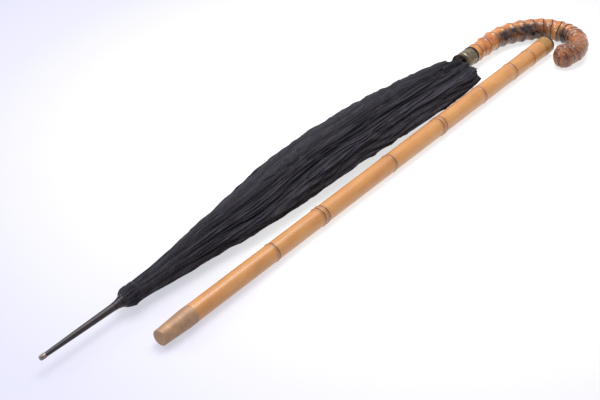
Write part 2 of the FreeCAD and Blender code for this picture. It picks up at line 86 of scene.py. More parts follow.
# ---------------------------------------------------------------- node helpers
class Nodes:
    """A material being built: a Principled shader and short ways to add nodes to it."""

    def __init__(self, name):
        self.material = bpy.data.materials.new(name)
        self.material.use_nodes = True
        self.tree = self.material.node_tree
        self.shader = self.tree.nodes["Principled BSDF"]

    def add(self, kind, **sockets):
        node = self.tree.nodes.new("ShaderNode" + kind)
        for key, value in sockets.items():
            self.put(node, key.replace("_", " "), value)
        return node

    def put(self, node, key, value):
        socket = node.inputs[key]
        if isinstance(value, bpy.types.NodeSocket):
            self.tree.links.new(value, socket)
        else:
            socket.default_value = value

    def set(self, **sockets):
        for key, value in sockets.items():
            self.put(self.shader, key.replace("_", " "), value)

    def place(self, scale):
        """The rest position, stretched by scale along x, y and z."""
        coords = self.add("TexCoord")
        mapping = self.add("Mapping", Scale=scale)
        self.tree.links.new(coords.outputs["Object"], mapping.inputs["Vector"])
        return mapping.outputs["Vector"]

    def unrolled(self, scale):
        """The surface unrolled: x along the piece and y around or across it, in metres."""
        coords = self.add("UVMap")
        mapping = self.add("Mapping", Scale=scale)
        self.tree.links.new(coords.outputs["UV"], mapping.inputs["Vector"])
        return mapping.outputs["Vector"]

    def mark(self, name):
        """A number stored on the mesh."""
        node = self.add("Attribute")
        node.attribute_name = name
        return node.outputs["Fac"]

    def noise(self, vector, scale=1.0, detail=4.0, rough=0.55):
        node = self.add("TexNoise", Vector=vector, Scale=scale, Detail=detail, Roughness=rough)
        return node.outputs["Fac"]

    def ramp(self, value, *stops):
        """Colours (or greys) by value: each stop is (position, colour)."""
        node = self.add("ValToRGB", Fac=value)
        elements = node.color_ramp.elements
        while len(elements) < len(stops):
            elements.new(0.5)
        for element, (position, colour) in zip(elements, stops):
            element.position = position
            grey = isinstance(colour, (int, float))
            element.color = (colour, colour, colour, 1) if grey else (*colour, 1)
        return node.outputs["Color"]

    def mix(self, amount, a, b, how="MIX"):
        node = self.add("Mix")
        node.data_type = "RGBA"
        node.blend_type = how
        for key, value in ((0, amount), (6, a), (7, b)):
            if isinstance(value, bpy.types.NodeSocket):
                self.tree.links.new(value, node.inputs[key])
            elif isinstance(value, (int, float)):
                node.inputs[key].default_value = value
            else:
                node.inputs[key].default_value = (*value, 1)
        return node.outputs[2]

    def math(self, how, a, b=0.0):
        node = self.add("Math")
        node.operation = how
        for key, value in ((0, a), (1, b)):
            if isinstance(value, bpy.types.NodeSocket):
                self.tree.links.new(value, node.inputs[key])
            else:
                node.inputs[key].default_value = value
        return node.outputs[0]

    def bump(self, height, distance, strength=1.0, under=None):
        node = self.add("Bump", Height=height, Distance=distance, Strength=strength)
        if under is not None:
            self.tree.links.new(under, node.inputs["Normal"])
        return node.outputs["Normal"]


# ---------------------------------------------------------------- materials
# Colours are linear red, green and blue. Bump distances are in metres.
def silk_material():
    """Old black umbrella silk: crinkled, matt, dusty on its folds and browned here and there, with
    painted shade darkening it down between the folds."""
    m = Nodes("old_silk")
    streaks = m.noise(m.unrolled((9, 260, 1)), detail=6)
    patches = m.noise(m.unrolled((14, 40, 1)), detail=3)
    crinkle = m.noise(m.unrolled((330, 620, 1)), detail=6, rough=0.7)
    creases = m.noise(m.unrolled((26, 520, 1)), detail=4, rough=0.65)
    thread = m.add("TexWave", Vector=m.unrolled((1, 1, 1)), Scale=900.0, Distortion=0.6)
    thread.bands_direction = "X"

    cloth = m.ramp(streaks, (0.3, (0.0085, 0.007, 0.0115)), (0.7, (0.034, 0.029, 0.044)))
    browned = m.ramp(patches, (0.55, 0.0), (0.8, 0.55))
    cloth = m.mix(browned, cloth, (0.022, 0.010, 0.013))
    dust = m.math("MULTIPLY", m.ramp(crinkle, (0.5, 0.0), (0.75, 1.0)), 0.35)
    cloth = m.mix(dust, cloth, (0.050, 0.045, 0.060))
    # painted shade: the cloth is darkened by how deep each point lies in its fold
    shadow = m.ramp(m.mark("valley"), (0.18, 0.0), (0.62, 0.95))
    cloth = m.mix(shadow, cloth, (0.0020, 0.0016, 0.0028))

    normal = m.bump(creases, 0.0016, 0.9)
    normal = m.bump(thread.outputs["Fac"], 0.00004, 0.3, normal)
    normal = m.bump(crinkle, 0.0009, 0.75, normal)
    m.set(
        Base_Color=cloth,
        Roughness=m.ramp(streaks, (0.2, 0.78), (0.8, 0.52)),
        Specular_IOR_Level=0.22,
        Sheen_Weight=0.06,
        Sheen_Roughness=0.45,
        Sheen_Tint=(0.78, 0.74, 0.9, 1),
        Normal=normal,
    )
    return m.material


def cane_material():
    """The sheath's varnished cane: long fibres, faint mottling and dark nodes."""
    m = Nodes("bamboo_cane")
    fibre = m.noise(m.unrolled((16, 1500, 1)), detail=5, rough=0.6)
    clouds = m.noise(m.unrolled((22, 60, 1)), detail=4)
    flecks = m.noise(m.unrolled((90, 1100, 1)), detail=2)
    cane = m.ramp(
        clouds,
        (0.25, (0.40, 0.165, 0.040)),
        (0.5, (0.50, 0.225, 0.060)),
        (0.8, (0.58, 0.29, 0.088)),
    )
    cane = m.mix(m.ramp(fibre, (0.35, 0.5), (0.62, 0.0)), cane, (0.40, 0.16, 0.040))
    cane = m.mix(m.ramp(flecks, (0.66, 0.0), (0.74, 0.6)), cane, (0.24, 0.09, 0.028))
    cane = m.mix(m.math("MULTIPLY", m.mark("halo"), 0.6), cane, (0.30, 0.115, 0.034))
    cane = m.mix(m.mark("scar"), cane, (0.018, 0.006, 0.004))
    m.set(
        Base_Color=cane,
        Roughness=m.ramp(fibre, (0.3, 0.42), (0.7, 0.3)),
        Coat_Weight=0.25,
        Coat_Roughness=0.22,
        Normal=m.bump(fibre, 0.00012, 0.6),
    )
    return m.material


def root_material():
    """The crook's varnished root: orange bamboo browning towards the nose, dark rings, and black
    mottling on its bend."""
    m = Nodes("bamboo_root")
    fibre = m.noise(m.unrolled((60, 900, 1)), detail=5, rough=0.6)
    clouds = m.noise(m.place((55, 55, 55)), detail=5, rough=0.6)
    specks = m.noise(m.place((230, 230, 230)), detail=4, rough=0.65)
    orange = m.ramp(
        clouds,
        (0.3, (0.22, 0.055, 0.010)),
        (0.48, (0.44, 0.150, 0.028)),
        (0.7, (0.62, 0.29, 0.075)),
    )
    orange = m.mix(m.ramp(fibre, (0.3, 0.45), (0.6, 0.0)), orange, (0.27, 0.085, 0.026))
    brown = m.ramp(specks, (0.35, (0.060, 0.018, 0.008)), (0.7, (0.38, 0.135, 0.042)))
    wood = m.mix(m.mark("brown"), orange, brown)
    black = m.ramp(specks, (0.4, (0.004, 0.004, 0.007)), (0.8, (0.030, 0.020, 0.022)))
    ink = m.math("MULTIPLY", m.mark("ink"), m.ramp(clouds, (0.30, 0.25), (0.52, 1.0)))
    wood = m.mix(ink, wood, black)
    wood = m.mix(m.mark("ring"), wood, (0.034, 0.013, 0.009))
    m.set(
        Base_Color=wood,
        Roughness=m.ramp(specks, (0.3, 0.42), (0.7, 0.28)),
        Specular_IOR_Level=0.25,
        Coat_Weight=0.6,
        Coat_Roughness=0.07,
        Coat_IOR=1.5,
        Normal=m.bump(clouds, 0.0009, 0.5, m.bump(fibre, 0.00012, 0.4)),
    )
    return m.material


def metal_material(name, dark, light, roughness, metallic=1.0, grain=180.0):
    """A handled metal whose colour and polish vary."""
    m = Nodes(name)
    clouds = m.noise(m.place((grain, grain, grain)), detail=5, rough=0.65)
    fine = m.noise(m.place((grain * 6, grain * 6, grain * 6)), detail=3)
    m.set(
        Base_Color=m.ramp(clouds, (0.35, dark), (0.68, light)),
        Metallic=metallic,
        Roughness=m.ramp(clouds, (0.3, min(1.0, roughness + 0.14)), (0.7, roughness)),
        Normal=m.bump(fine, 0.00008, 0.5),
    )
    return m.material


def spike_material():
    """The spike: dark polished wood with a reddish cast and long grain."""
    m = Nodes("dark_wood")
    grain = m.noise(m.place((30, 900, 900)), detail=5)
    clouds = m.noise(m.place((60, 60, 60)), detail=3)
    wood = m.ramp(grain, (0.3, (0.006, 0.004, 0.006)), (0.7, (0.026, 0.016, 0.019)))
    wood = m.mix(m.ramp(clouds, (0.5, 0.0), (0.75, 0.6)), wood, (0.050, 0.018, 0.014))
    m.set(
        Base_Color=wood,
        Roughness=m.ramp(grain, (0.3, 0.5), (0.7, 0.38)),
        Specular_IOR_Level=0.35,
        Coat_Weight=0.12,
        Coat_Roughness=0.3,
        Normal=m.bump(grain, 0.00012, 0.4),
    )
    return m.material


# Painted light on the floor: it glows though it is no lamp, brightest at FLOOR_MIDDLE.
FLOOR_GLOW = 0.68
FLOOR_MIDDLE = (0.12, -0.03)  # the brightest place, metres
FLOOR_GREY = (0.34, 0.34, 0.345)


def floor_material():
    """A pale sheet that glows with painted light, as though lit from below, and whose colour and glow
    fade to lavender grey away from the object: painted falloff of that light.
    """
    m = Nodes("floor")
    shifted = m.add("VectorMath")
    m.tree.links.new(m.place((1, 1, 1)), shifted.inputs[0])
    shifted.inputs[1].default_value = (-FLOOR_MIDDLE[0], -FLOOR_MIDDLE[1], 0)
    away = m.add("VectorMath")
    away.operation = "LENGTH"
    m.tree.links.new(shifted.outputs["Vector"], away.inputs[0])
    # painted falloff: the floor's colour and glow darken to lavender grey away from FLOOR_MIDDLE
    shade = m.ramp(
        away.outputs["Value"],
        (0.26, (1.0, 1.0, 1.0)),
        (0.36, (0.82, 0.82, 0.88)),
        (0.55, (0.66, 0.66, 0.78)),
        (0.75, (0.60, 0.60, 0.72)),
    )
    m.set(
        Base_Color=m.mix(1.0, shade, FLOOR_GREY, "MULTIPLY"),
        Emission_Color=shade,
        Emission_Strength=FLOOR_GLOW,
        Roughness=0.42,
        Specular_IOR_Level=0.3,
    )
    return m.material


SILK = silk_material()
CANE = cane_material()
ROOT = root_material()
SPIKE = spike_material()
# name, dark colour, light colour, roughness, and then metallic and grain where they differ
BRASS = metal_material("patinated_brass", (0.115, 0.100, 0.068), (0.36, 0.31, 0.20), 0.34)
TAN_METAL = metal_material("tan_metal", (0.27, 0.155, 0.085), (0.37, 0.215, 0.115), 0.42, 0.25, 110.0)
MOUTH_BRASS = metal_material("mouth_brass", (0.30, 0.150, 0.040), (0.52, 0.29, 0.085), 0.34, 0.4, 90.0)
CUP_METAL = metal_material("brown_metal", (0.060, 0.045, 0.038), (0.21, 0.155, 0.115), 0.36)
DARK_METAL = metal_material("dark_metal", (0.008, 0.007, 0.009), (0.040, 0.033, 0.036), 0.24, 0.5)
WORN_METAL = metal_material("worn_metal", (0.12, 0.095, 0.085), (0.33, 0.27, 0.235), 0.45)
STEEL = metal_material("japanned_steel", (0.010, 0.009, 0.011), (0.030, 0.027, 0.032), 0.38, 0.7)
BRIGHT_STEEL = metal_material("bright_steel", (0.28, 0.27, 0.27), (0.52, 0.51, 0.50), 0.3)
RUNNER_BRASS = metal_material("runner_brass", (0.30, 0.20, 0.075), (0.58, 0.42, 0.19), 0.3)

# ---------------------------------------------------------------- pieces shown as designed
RIBS = 8
CAD_LOOKS = {
    "spike": (SPIKE, "dark_metal"),
    "spike_tip": (WORN_METAL, "worn_metal"),
    "spike_cup": (DARK_METAL, "dark_metal"),
    "shaft": (STEEL, "steel"),
    "notch": (RUNNER_BRASS, "brass"),
    "notch_wire": (BRIGHT_STEEL, "steel"),
    "stop_pin": (BRIGHT_STEEL, "steel"),
    "top_spring": (BRIGHT_STEEL, "steel"),
    "bottom_spring": (BRIGHT_STEEL, "steel"),
    "runner": (RUNNER_BRASS, "brass"),
    "runner_wire": (BRIGHT_STEEL, "steel"),
    "rib_tip_cup": (CUP_METAL, "brass"),
    "handle_collar": (BRASS, "brass"),
    "collar_band": (DARK_METAL, "dark_metal"),
    "sheath_mouth_collar": (MOUTH_BRASS, "brass"),
    "sheath_mouth_rim": (DARK_METAL, "dark_metal"),
    "sheath_ferrule": (TAN_METAL, "foot_metal"),
    "sheath_foot_plate": (TAN_METAL, "foot_metal"),
}
for count in range(1, RIBS + 1):
    CAD_LOOKS[f"rib_{count}"] = (STEEL, "steel")
    CAD_LOOKS[f"elbow_pin_{count}"] = (BRIGHT_STEEL, "steel")
    CAD_LOOKS[f"stretcher_{count}"] = (STEEL, "steel")


def finish_cad_nodes():
    """Each node shown as designed gets its material; its slot name is not used."""
    for name, (material, slot) in CAD_LOOKS.items():
        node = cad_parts[name]
        node.data.materials.clear()
        node.data.materials.append(material)


finish_cad_nodes()


# ---------------------------------------------------------------- mesh helpers
def grid_object(name, points, unrolled, material, wrap=False, marks=None):
    """A smooth mesh from a grid of points (rows, columns, 3), with its unrolled coordinates
    (rows, columns, 2) as UVs. wrap joins the last column to the first. marks are numbers stored
    on the points, for the material."""
    rows, columns = points.shape[:2]
    across = columns if wrap else columns - 1
    i, j = np.meshgrid(np.arange(rows - 1), np.arange(across), indexing="ij")
    right = (j + 1) % columns
    corners = [i * columns + j, i * columns + right, (i + 1) * columns + right, (i + 1) * columns + j]
    quads = np.stack(corners, -1)
    mesh = bpy.data.meshes.new(name)
    mesh.from_pydata(points.reshape(-1, 3).tolist(), [], quads.reshape(-1, 4).tolist())
    layer = mesh.uv_layers.new(name="UVMap")
    flat = unrolled.reshape(-1, 2)[quads.reshape(-1)].copy()
    if wrap:
        # the last strip ends one step past the last column, not back at the first
        seam = np.repeat((j == columns - 1).reshape(-1), 4).reshape(-1, 4)
        girth = 2 * unrolled[:, -1, 1].max() - unrolled[:, -2, 1].max()
        corner = flat.reshape(-1, 4, 2)
        corner[:, 1:3, 1] = np.where(seam[:, 1:3], girth, corner[:, 1:3, 1])
        flat = corner.reshape(-1, 2)
    layer.data.foreach_set("uv", flat.astype(np.float32).reshape(-1))
    for key, values in (marks or {}).items():
        attribute = mesh.attributes.new(key, "FLOAT", "POINT")
        attribute.data.foreach_set("value", values.astype(np.float32).reshape(-1))
    mesh.shade_smooth()
    mesh.materials.append(material)
    mesh.update()
    obj = bpy.data.objects.new(name, mesh)
    bpy.context.scene.collection.objects.link(obj)
    return obj


def around_shaft(station, radius, azimuth):
    """Points at these stations, and at these radii and azimuths about the shaft's axis."""
    points = np.empty(np.broadcast_shapes(station.shape, radius.shape, azimuth.shape) + (3,))
    points[..., 0] = TIP_X + station * MM
    points[..., 1] = AXIS_Y + radius * np.cos(azimuth) * MM
    points[..., 2] = AXIS_Z + radius * np.sin(azimuth) * MM
    return points


def unroll(along, across):
    """Unrolled coordinates from the distance along a piece (mm) and around or across it (m)."""
    return np.stack([along * MM, np.broadcast_to(across, along.shape)], -1)


def full_turn(columns):
    """Angles all the way round, without the last one that equals the first."""
    return np.linspace(0, 2 * np.pi, columns, endpoint=False)


def wander(t, seed, waves=4):
    """A smooth random curve of about unit height over t, which is counted in wave lengths."""
    rng = np.random.default_rng(seed)
    out = np.zeros(np.broadcast(t, 0.0).shape)
    for _ in range(waves):
        pitch, phase, size = rng.uniform(0.5, 1.7), rng.uniform(0, 2 * np.pi), rng.uniform(0.5, 1.0)
        out = out + size * np.sin(2 * np.pi * pitch * t + phase)
    return out / (0.75 * math.sqrt(waves))


def smooth_step(t):
    """0 up to t = 0, 1 from t = 1, and an S-curve between."""
    t = np.clip(t, 0, 1)
    return t * t * (3 - 2 * t)


def crest(phase, sharpness):
    """1 on each whole number of phase and 0 midway: broad-topped folds with sharp valleys."""
    return np.abs(np.cos(np.pi * phase)) ** sharpness


# ---------------------------------------------------------------- canopy
# The gathered cloth's oval sections: station, half width, half height, and its middle's distance
# to the side of the shaft's axis.
BUNDLE = np.array(
    [
        (101, 7.2, 7.2, 0.0),
        (112, 9.2, 9.2, 0.0),
        (125, 9.9, 9.9, 0.0),
        (140, 11.0, 10.9, -0.5),
        (174, 15.2, 12.8, -0.5),
        (212, 20.4, 13.7, 0.5),
        (267, 29.4, 13.9, 1.0),
        (330, 35.5, 14.6, 4.0),
        (400, 39.0, 15.2, 5.0),
        (480, 40.5, 15.2, 1.0),
        (545, 39.5, 15.0, -4.0),
        (612, 33.5, 14.2, -8.0),
        (640, 30.0, 13.4, -10.5),
        (676, 25.5, 10.6, -12.0),
    ]
)
GROUND_GAP = 0.5  # beneath the ovals, for the pleats
LOWEST = 0.4  # no cloth is lower than this above the ground
CLOTH_START = 101.0
CLOTH_LENGTH = 560.0
HINGE_CIRCLE = 112.0  # where the ribs turn: the gores swing from here on
TOPS_END = 113.5  # the tops of the gores lie over their swinging part as far as this
HEM_AT_RIBS = 673.0
HEM_BETWEEN_RIBS = 659.0
INNER_R = 8.2  # round the furled frame

PLEATS = 44  # fine folds, all the way round
MIDDLE_FOLDS = 23
BROAD_FOLDS = 9
PLEAT_DEPTH = 2.4
MIDDLE_DEPTH = 2.6
BROAD_DEPTH = 4.2
CREST_HEIGHT = 2.6  # how far the highest folds stand back out
FULL_DEPTH_GIRTH = 185.0  # folds are shallower where the bundle's girth is less than this
VALLEY_DEPTH = 7.5  # depth at which a fold's painted shade is at its darkest

FIRST_RIB = math.radians(22.5)
RIB_STEP = math.radians(45.0)
ROWS = 100
SKIN_COLUMNS = 84
UNDER_COLUMNS = 30
# Hidden folds in each half of each gore. Nobody can see them: their number was chosen so that
# each gore's area comes out near its flat area.
FOLDS_INSIDE = (7, 9, 6, 4, 7, 10, 7, 4)
FOLD_REACH = (0.06, 0.92)  # where they turn back, from the rib to the middle of the gore
SHARE_INSIDE = 0.22  # share of the gore's width in the hidden folds of one half
SEAM = math.radians(1.2)  # between a rib and the first of the cloth
FLAP = math.radians(38)  # how far each gore's outer fold lies over its neighbour
FLAP_EASE = math.radians(6)
EDGE_EASE = math.radians(4)
LAYER = 0.8  # distance between the layers of the overlap
LAYERS_OUTSIDE = 3.4  # the hidden folds stay this many layers beneath the outside
FULL_LAYER_GIRTH = 150.0  # layers lie closer where the bundle's girth is less than this
CLOSEST_LAYERS = 0.35

GORE_WIDTH = 0.413


def oval(station):
    """The gathered cloth's half width, half height and middle (y, z) at each station."""
    a, b, y = (np.interp(station, BUNDLE[:, 0], BUNDLE[:, n]) for n in (1, 2, 3))
    z = np.maximum(AXIS_Z / MM, b + GROUND_GAP) - AXIS_Z / MM
    return a, b, y, z


def oval_radius(station, azimuth):
    """Distance from the shaft's axis to the oval at each station and azimuth."""
    a, b, y, z = oval(station)
    c, s = np.cos(azimuth), np.sin(azimuth)
    # (r c - y)^2 / a^2 + (r s - z)^2 / b^2 = 1
    p = c * c / (a * a) + s * s / (b * b)
    q = c * y / (a * a) + s * z / (b * b)
    k = y * y / (a * a) + z * z / (b * b) - 1
    return (q + np.sqrt(np.maximum(q * q - p * k, 0))) / p


def girth_table(station):
    """Azimuths, the share of the oval's girth passed at each of them, and the girth, for each
    station."""
    azimuth = np.linspace(0, 2 * np.pi, 721)
    radius = oval_radius(station[:, None], azimuth[None, :])
    y, z = radius * np.cos(azimuth), radius * np.sin(azimuth)
    steps = np.hypot(np.diff(y, axis=1), np.diff(z, axis=1))
    passed = np.concatenate([np.zeros((len(station), 1)), np.cumsum(steps, axis=1)], axis=1)
    return azimuth, passed / passed[:, -1:], passed[:, -1]


def fold_depth(station, share, girth):
    """How far the cloth's outside dips below its oval: fine pleats on a few broad folds,
    wandering and slowly twisting along the umbrella. share is the share of the girth."""
    along = (station - CLOTH_START) / CLOTH_LENGTH
    twist = 0.05 * along + 0.012 * wander(along * 2.0, 5)
    turn = 2 * np.pi * (share + twist)
    drift = 0.5 * wander(along * 3.1 + 1.3 * np.sin(turn), 11)
    sway = 0.45 * np.sin(3 * turn + 5 * along)
    fine = 1 - crest(PLEATS * (share + twist) + drift + sway, 0.75)
    drift = 0.30 * wander(along * 2.2 + 0.4 * np.cos(turn), 23)
    broad = 1 - crest(BROAD_FOLDS * (share + twist) + drift, 0.6)
    drift = 0.5 * wander(along * 4.0 + np.cos(2 * turn), 31)
    # the middle folds have sharp crests instead
    middle = crest(MIDDLE_FOLDS * (share - 0.6 * twist) + drift + 0.5, 0.8)
    uneven = 0.6 + 0.5 * (0.5 + 0.5 * np.sin(5 * turn + 4 * along))
    uneven = uneven + 0.25 * wander(along * 5 + 2 * np.cos(turn), 41)
    body = np.interp(along, [0, 0.05, 0.2, 0.8, 1], [0.35, 0.5, 1.0, 1.0, 1.15])
    dip = PLEAT_DEPTH * fine * uneven + BROAD_DEPTH * broad + MIDDLE_DEPTH * middle
    return body * (girth / FULL_DEPTH_GIRTH) * (dip - CREST_HEIGHT)


def hem_station(number, u):
    """Where the cloth ends across a gore: it hangs in a shallow curve between two rib tips and is
    torn into small teeth. On two gores it has come loose from the tips."""
    curve = 4 * u * (1 - u)
    teeth = np.abs((u * 17 + 0.37 * number) % 1 * 2 - 1)
    teeth = teeth + 0.5 * np.abs((u * 41 + 0.61 * number) % 1 * 2 - 1)
    torn = 5.0 * teeth * np.sqrt(curve) + 4.0 * wander(u * 6, 60 + number) * curve
    loose = 3.0 if number in (3, 4) else 0.0
    return HEM_AT_RIBS - (HEM_AT_RIBS - HEM_BETWEEN_RIBS) * curve - torn - loose * (1 - curve)


def hidden_folds(count):
    """The zigzag of the folds inside the furled cloth. Each column has its place from the rib (0)
    to the gore's middle (1), and its height from the furled frame (0) to the outside (1)."""
    columns = []
    for fold in range(count):
        start, end = FOLD_REACH if fold % 2 == 0 else FOLD_REACH[::-1]
        height = (fold + 0.5) / count
        quarter = 0.25 / count
        columns += [(start, height - quarter), ((start + end) / 2, height), (end, height + quarter)]
    return np.array(columns).T


def gore_outside(first, last):
    """The outer columns of a gore, from beneath its neighbour's flap to the edge of its own flap
    and back beneath that: their azimuths, and how many layers beneath the outside they lie."""
    skin = np.linspace(first + SEAM, last + FLAP, SKIN_COLUMNS)
    buried = 2.0 * (1 - smooth_step((skin - first - FLAP + FLAP_EASE / 2) / FLAP_EASE))
    under = np.linspace(last + FLAP, last + SEAM, UNDER_COLUMNS + 1)[1:]
    sunk = smooth_step((last + FLAP - under) / EDGE_EASE)
    return np.concatenate([skin, under]), np.concatenate([buried, sunk])


def make_gore(number):
    """One gore, from its own rib (u = 0) to the next (u = 1): half of its hidden folds, its
    outside, and the other half of its folds."""
    first = FIRST_RIB + RIB_STEP * number
    last = first + RIB_STEP
    middle = (first + last) / 2
    place, height = hidden_folds(2 * FOLDS_INSIDE[number])
    outside, layer = gore_outside(first, last)
    folds = len(place)
    skin = slice(folds, folds + len(outside))
    none = np.zeros(folds)

    u = np.concatenate(
        [
            np.linspace(0, SHARE_INSIDE, folds, endpoint=False),
            np.linspace(SHARE_INSIDE, 1 - SHARE_INSIDE, len(outside)),
            np.linspace(1 - SHARE_INSIDE, 1, folds + 1)[1:],
        ]
    )
    azimuth = np.concatenate(
        [
            first + SEAM + place * (middle - first - SEAM),
            outside,
            last - SEAM - place[::-1] * (last - SEAM - middle),
        ]
    )
    height = np.concatenate([height, np.ones(len(outside)), height[::-1]])
    layer = np.concatenate([none, layer, none])
    down = np.linspace(0, 1, ROWS)[:, None]
    station = HINGE_CIRCLE + down * (hem_station(number, u)[None, :] - HINGE_CIRCLE)
    azimuth = np.broadcast_to(azimuth, station.shape)

    # the outside, with its folds
    table_azimuth, passed, girth = girth_table(station[:, folds + len(outside) // 2])
    share = [np.interp(a % (2 * np.pi), table_azimuth, p) for a, p in zip(azimuth, passed)]
    girth = girth[:, None]
    ridge = oval_radius(station, azimuth)
    dip = fold_depth(station, np.array(share), girth)
    close = np.clip(girth / FULL_LAYER_GIRTH, CLOSEST_LAYERS, 1.0)
    radius = ridge - dip - LAYER * layer * close
    # the hidden folds, between the furled frame and the outside
    ceiling = np.maximum(ridge - dip - LAYERS_OUTSIDE * LAYER * close, INNER_R)
    hidden = INNER_R + height * (ceiling - INNER_R)
    hidden[:, skin] = radius[:, skin]
    radius = np.maximum(hidden, np.minimum(INNER_R, ridge - 0.05 * layer))

    points = around_shaft(station, radius, azimuth)
    points[..., 2] = np.maximum(points[..., 2], LOWEST * MM)
    across = GORE_WIDTH * down * u + number
    # how deep each point lies in its fold, for the silk's painted shade
    valley = np.clip((dip / close + CREST_HEIGHT) / VALLEY_DEPTH, 0, 1)
    unrolled = unroll(station, across)
    obj = grid_object(f"canopy_{number + 1}", points, unrolled, SILK, marks={"valley": valley})
    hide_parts(f"canopy_gore_{number + 1}")
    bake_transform(obj)


for gore_number in range(RIBS):
    make_gore(gore_number)


TOPS_ROWS = 9
TOPS_COLUMNS = 264
TOPS_LIFT = 0.25  # above the gores' swinging part
TOPS_R = 9.0  # at which the tops are unrolled


def make_gore_tops():
    """The tops of all the gores, gathered and tied round the shaft ahead of the ribs' hinges."""
    station = np.linspace(CLOTH_START, TOPS_END, TOPS_ROWS)
    turn = full_turn(TOPS_COLUMNS)
    azimuth, passed, girth = girth_table(station)
    share = np.stack([np.interp(turn, azimuth, row) for row in passed])
    grid = np.broadcast_to(station[:, None], share.shape)
    dip = fold_depth(grid, share, girth[:, None])
    radius = oval_radius(grid, turn) - dip + TOPS_LIFT
    points = around_shaft(grid, radius, turn)
    unrolled = unroll(grid, turn * TOPS_R * MM)
    # how deep each point lies in its fold, for the silk's painted shade
    valley = np.clip(dip * FULL_LAYER_GIRTH / girth[:, None] / VALLEY_DEPTH, 0, 1)
    obj = grid_object("canopy_tops", points, unrolled, SILK, wrap=True, marks={"valley": valley})
    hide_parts("crown_rosette")
    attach(obj, "umbrella_frame")


make_gore_tops()

# ---------------------------------------------------------------- ruff
RUFF_FRILLS = 22
RUFF_ROWS = 12
RUFF_COLUMNS = 264
RUFF_LENGTH = 13.0
RUFF_INNER_R = 5.6
RUFF_FLARE = 4.2
RUFF_FRILL = 0.55
RUFF_BEHIND_FLANGE = 0.8
RUFF_R = 8.0  # at which the ruff is unrolled


def make_ruff():
    """The frayed, gathered disc of cloth between the trumpet cup and the canopy."""
    start = (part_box("crown_rosette")[0].x - TIP_X) / MM + RUFF_BEHIND_FLANGE
    rows = np.linspace(0, 1, RUFF_ROWS)[:, None]
    turn = full_turn(RUFF_COLUMNS)[None, :]
    frill = np.sin(RUFF_FRILLS * turn + 1.5 * np.sin(3 * turn))
    frayed = 1 + 0.22 * wander(turn * 9 / np.pi, 7) + 0.20 * wander(turn * 25 / np.pi, 8)
    station = start + rows * RUFF_LENGTH * frayed + 0.8 * rows * np.sin(11 * turn)
    radius = RUFF_INNER_R + RUFF_FLARE * rows**0.55 + RUFF_FRILL * frill * rows
    radius = radius + 0.5 * rows * wander(turn * 5 / np.pi, 9)
    unrolled = unroll(station, turn * RUFF_R * MM)
    obj = grid_object("ruff", around_shaft(station, radius, turn), unrolled, SILK, wrap=True)
    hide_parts("crown_rosette")
    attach(obj, "umbrella_frame")


make_ruff()

# ---------------------------------------------------------------- crook
# Its middle line runs straight from the collar, then round a wide and a tight bend.
CROOK_START = (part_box("collar_band")[1].x - TIP_X) / MM
CROOK_STRAIGHT = 46.0
CROOK_R1 = 100.0
CROOK_TURN1 = math.radians(45)
CROOK_R2 = 40.0
CROOK_TURN2 = math.radians(160)
ARC1 = CROOK_TURN1 * CROOK_R1
ARC2 = CROOK_TURN2 * CROOK_R2
CROOK_LENGTH = CROOK_STRAIGHT + ARC1 + ARC2
GRIP_R = 10.6
BEND_R = 12.5
NOSE_R = 11.4
KNOB_R = 13.9
KNOB_PAST = 5.0
SWELL_END = 0.9  # share of the length over which the bar swells and thins again

CROOK_ROWS = 720
NOSE_ROWS = 90
CROOK_COLUMNS = 96
CROOK_RINGS = [9.0 + 21.5 * n - 0.6 * n * n for n in range(14)]  # from the collar
RING_RISE = 1.45
RING_LINE = 1.05  # half the width of the dark line behind each ring
NOSE_SCAR_PITCH = 7.5
CROOK_R = 12.0  # at which the crook is unrolled


def crook_line(s):
    """Point (x, y) and heading of the crook's middle line at distances s from the collar."""
    turn1 = np.clip((s - CROOK_STRAIGHT) / CROOK_R1, 0, CROOK_TURN1)
    turn2 = np.maximum(s - CROOK_STRAIGHT - ARC1, 0) / CROOK_R2
    x = CROOK_START + np.minimum(s, CROOK_STRAIGHT) + CROOK_R1 * np.sin(turn1)
    y = -CROOK_R1 * (1 - np.cos(turn1))
    heading = turn1 + turn2
    x = x + CROOK_R2 * (np.sin(heading) - np.sin(turn1))
    y = y - CROOK_R2 * (np.cos(turn1) - np.cos(heading))
    return x, y, heading


def crook_radius(s):
    """The bar without its rings: thickest round the bend, with a ball for its nose."""
    t = s / CROOK_LENGTH
    swell = np.sin(np.pi * np.minimum(1.0, t / SWELL_END)) ** 2
    bar = GRIP_R + (NOSE_R - GRIP_R) * np.minimum(t, 1) + (BEND_R - GRIP_R) * swell
    ball = KNOB_R**2 - (s - CROOK_LENGTH - KNOB_PAST) ** 2
    ball = np.sqrt(np.maximum(ball, 0))
    return np.where(s > CROOK_LENGTH, ball, np.maximum(bar, ball))


def crook_rings(s, turn):
    """How far the rings stand out, how far the bar is waisted beside them, and their dark lines.
    Each ring leans a little and wavers."""
    places = np.array(CROOK_RINGS)
    rng = np.random.default_rng(3)
    tilt = rng.uniform(-0.9, 0.9, len(places))
    lean = rng.uniform(0, 2 * np.pi, len(places))
    proud = rng.uniform(0.75, 1.05, len(places))
    rise = np.zeros_like(s)
    line = np.zeros_like(s)
    for n, place in enumerate(places):
        edge = place + tilt[n] * np.cos(turn + lean[n]) + 0.35 * np.sin(5 * turn + n)
        away = s - edge
        slope = np.where(away < 0, 3.4, 2.4)
        rise = np.maximum(rise, proud[n] * RING_RISE * np.exp(-np.sqrt(away**2 + 0.2) / slope))
        line = np.maximum(line, np.exp(-(((away - 0.6) / RING_LINE) ** 4)))
    nearest = np.min(np.abs(s[:, :, None] - places), axis=2)
    waist = -0.35 * np.exp(-(((nearest - 6) / 3.0) ** 2))
    return rise, waist, line


